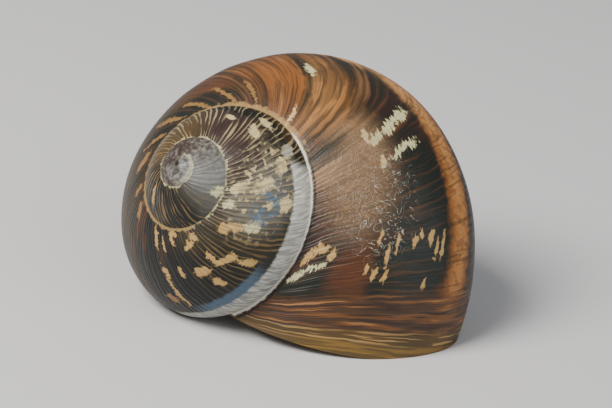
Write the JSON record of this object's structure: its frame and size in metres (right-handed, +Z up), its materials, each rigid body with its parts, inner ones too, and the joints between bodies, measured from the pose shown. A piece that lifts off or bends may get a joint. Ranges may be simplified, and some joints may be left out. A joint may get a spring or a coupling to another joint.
{
  "type": "land snail shell",
  "caption": "Hollow right-coiled land snail shell of a young garden snail, resting on its aperture, with banded and flecked brown whorls.",
  "frame": {"origin": "middle of the shell's footprint box on the surface it rests on", "axes": "+Z up from that surface; +X to the viewer's right; +Y away from the viewer, who sees the apex at the left front"},
  "size_m": [0.0182, 0.0144, 0.012],
  "materials": {
    "shell": "satin calcareous shell with growth lines, brown bands and cream flecks"
  },
  "bodies": {
    "root": {"shell": "shell"}
  },
  "joints": []
}
